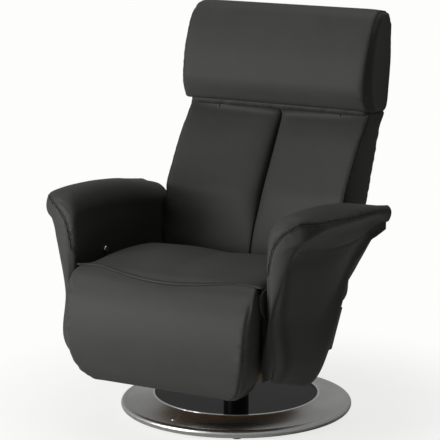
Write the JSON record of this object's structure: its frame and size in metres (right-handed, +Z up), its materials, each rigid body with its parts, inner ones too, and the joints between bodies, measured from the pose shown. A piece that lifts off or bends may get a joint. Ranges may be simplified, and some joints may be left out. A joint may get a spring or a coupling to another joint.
{
  "type": "swivel recliner",
  "caption": "Leather swivel recliner on a round disc base, with a hinged leg-rest, a reclining back, a tilting head cushion, flared arms and a release button.",
  "frame": {"origin": "on the floor, on the swivel axis, at the level of the glides' soles", "axes": "+Z up along the swivel axis; the sitter faces -Y; +X to the sitter's left"},
  "size_m": [0.83, 0.8354, 1.0997],
  "materials": {
    "black_leather": "satin",
    "brushed_steel": "satin",
    "chrome": "polished",
    "dark_gloss": "gloss",
    "black_plastic": "matte",
    "black_rubber": "matte",
    "black_steel": "satin",
    "bright_steel": "polished",
    "plywood": "matte",
    "webbing": "matte"
  },
  "bodies": {
    "base": {"base_glides": "black_rubber", "base_plate": "black_steel", "base_ring": "brushed_steel", "base_cap": "chrome", "base_centre_disc": "dark_gloss", "base_trim_ring": "chrome", "disc_spacers": "black_plastic", "swivel_column": "black_steel", "column_bolts": "bright_steel", "column_bushes": "black_plastic", "thrust_washer": "black_plastic"},
    "seat": {"arm_blocks": "plywood", "arm_bolts": "bright_steel", "arm_frame_left": "plywood", "arm_frame_right": "plywood", "arm_left": "black_leather", "arm_right": "black_leather", "back_hinge_plate_left": "black_steel", "back_hinge_plate_right": "black_steel", "back_pivot_pins": "bright_steel", "button_housing": "chrome", "gas_spring_feet": "black_steel", "legrest_bracket_left": "black_steel", "legrest_bracket_right": "black_steel", "legrest_shaft": "bright_steel", "mounting_bolts": "bright_steel", "seat_box_bottom": "plywood", "seat_cushion": "black_leather", "seat_front_panel": "plywood", "seat_mounting_plate": "black_steel", "seat_rear_panel": "plywood", "seat_side_panel_left": "plywood", "seat_side_panel_right": "plywood", "seat_webbing": "webbing", "spindle_retaining_ring": "bright_steel", "swivel_spindle": "black_steel"},
    "legrest": {"legrest_cushion": "black_leather", "legrest_board": "plywood", "legrest_hinge_arms": "black_steel", "legrest_screws": "bright_steel", "legrest_pivot_tube": "black_steel", "legrest_bushes": "black_plastic", "legrest_spring_lugs": "black_steel"},
    "legrest_spring_cylinder": {"legrest_gas_spring_cylinder": "black_steel"},
    "legrest_spring_rod": {"legrest_gas_spring_rod": "bright_steel"},
    "back_spring_cylinder": {"back_gas_spring_cylinder": "black_steel"},
    "back_spring_rod": {"back_gas_spring_rod": "bright_steel"},
    "backrest": {"back_cushion_left": "black_leather", "back_cushion_right": "black_leather", "back_stile_left": "black_steel", "back_stile_right": "black_steel", "back_bushes": "black_plastic", "back_rails": "black_steel", "back_webbing": "webbing", "back_board": "plywood", "head_hinge_lower": "black_steel"},
    "headrest": {"head_cushion": "black_leather", "head_board": "plywood", "head_hinge_upper": "black_steel"},
    "button": {"release_button": "chrome"}
  },
  "joints": [
    {"name": "swivel", "type": "hinge", "parent": "base", "child": "seat", "pos_m": [0, 0, 0], "axis": [0, 0, 1], "continuous": true},
    {"name": "legrest_hinge", "type": "hinge", "parent": "seat", "child": "legrest", "pos_m": [0, -0.357, 0.414], "axis": [-1, 0, 0], "range_deg": [0, 85]},
    {"name": "back_recline", "type": "hinge", "parent": "seat", "child": "backrest", "pos_m": [0, 0.112, 0.354], "axis": [-1, 0, 0], "range_deg": [0, 35]},
    {"name": "head_tilt", "type": "hinge", "parent": "backrest", "child": "headrest", "pos_m": [0, 0.239, 0.822], "axis": [1, 0, 0], "range_deg": [0, 30]},
    {"name": "legrest_spring_swing", "type": "hinge", "parent": "seat", "child": "legrest_spring_cylinder", "pos_m": [-0.07, -0.08, 0.228], "axis": [-1, 0, 0], "range_deg": [0, 3.93]},
    {"name": "legrest_spring_slide", "type": "slide", "parent": "legrest_spring_cylinder", "child": "legrest_spring_rod", "axis": [0, -0.9476, 0.3196], "range_m": [0, 0.13702]},
    {"name": "back_spring_swing", "type": "hinge", "parent": "seat", "child": "back_spring_cylinder", "pos_m": [0.07, -0.2, 0.228], "axis": [-1, 0, 0], "range_deg": [-8.38, 0]},
    {"name": "back_spring_slide", "type": "slide", "parent": "back_spring_cylinder", "child": "back_spring_rod", "axis": [0, 0.9789, 0.2042], "range_m": [-0.02341, 0]},
    {"name": "button_press", "type": "slide", "parent": "seat", "child": "button", "axis": [-1, 0, 0], "range_m": [0, 0.003], "stiffness_N_per_m": 800}
  ],
  "couplings": [
    {"joint": "legrest_spring_swing", "follows": "legrest_hinge", "ratio": 0.045696},
    {"joint": "legrest_spring_slide", "follows": "legrest_hinge", "m_per_rad": 0.092027},
    {"joint": "back_spring_swing", "follows": "back_recline", "ratio": -0.2381},
    {"joint": "back_spring_slide", "follows": "back_recline", "m_per_rad": -0.037505}
  ]
}
